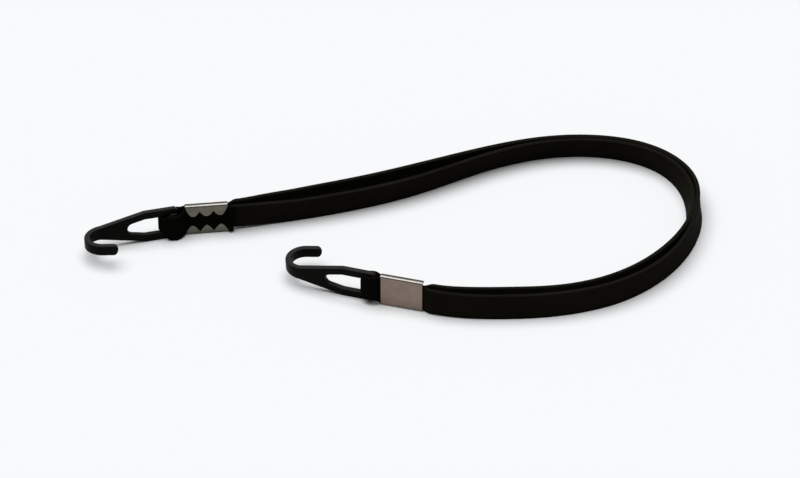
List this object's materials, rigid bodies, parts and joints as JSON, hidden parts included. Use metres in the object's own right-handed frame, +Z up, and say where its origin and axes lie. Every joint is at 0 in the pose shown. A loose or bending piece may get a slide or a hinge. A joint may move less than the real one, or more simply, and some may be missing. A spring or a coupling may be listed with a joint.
{
  "type": "bungee cord",
  "caption": "Flat rubber luggage strap, doubled, standing on edge in an open loop, with a swivelling moulded hook and a crimped steel ferrule at each end.",
  "frame": {"origin": "on the floor under the middle of the strap's plan box", "axes": "+X from the open side of the loop with the hooks to the closed tip, +Y from the near end to the far leg, +Z up from the floor"},
  "size_m": [0.2718, 0.1324, 0.0148],
  "materials": {
    "strip_rubber": "extruded black rubber, satin, with fine lengthwise lines",
    "hook_plastic": "moulded black plastic, softly glossy on rounded edges",
    "ferrule_steel": "plated steel sheet, warm grey, bright along the fold"
  },
  "bodies": {
    "near_half": {"outer_near_run": "strip_rubber", "inner_near_run": "strip_rubber"},
    "far_half": {"outer_far_run": "strip_rubber", "inner_far_run": "strip_rubber"},
    "far_end": {"far_ferrule": "ferrule_steel", "far_eye": "strip_rubber"},
    "near_end": {"near_ferrule": "ferrule_steel", "near_eye": "strip_rubber"},
    "far_hook": {"far_hook": "hook_plastic"},
    "near_hook": {"near_hook": "hook_plastic"}
  },
  "joints": [
    {"name": "loop_flex", "type": "hinge", "parent": "near_half", "child": "far_half", "pos_m": [0.1324, 0.0155, 0.006], "axis": [0, 0, -1], "range_deg": [-8, 150], "deforming": ["outer_far_run", "inner_far_run", "outer_near_run", "inner_near_run"]},
    {"name": "far_stretch", "type": "slide", "parent": "far_half", "child": "far_end", "axis": [-0.9912, -0.1323, 0], "range_m": [0, 0.12], "stiffness_N_per_m": 150, "deforming": ["outer_far_run", "inner_far_run"]},
    {"name": "near_stretch", "type": "slide", "parent": "near_half", "child": "near_end", "axis": [-0.9967, 0.0807, 0], "range_m": [0, 0.12], "stiffness_N_per_m": 150, "deforming": ["outer_near_run", "inner_near_run"]},
    {"name": "far_hook_pivot", "type": "hinge", "parent": "far_end", "child": "far_hook", "pos_m": [-0.09791, -0.00171, 0.0074], "axis": [-0.0183, 0.0637, 0.9978], "range_deg": [-53, 36]},
    {"name": "near_hook_pivot", "type": "hinge", "parent": "near_end", "child": "near_hook", "pos_m": [-0.01041, -0.05124, 0.0074], "axis": [0.0209, 0.0629, -0.9978], "range_deg": [-46, 44]}
  ],
  "couplings": [
    {"joint": "near_stretch", "follows": "far_stretch", "ratio": 1}
  ]
}
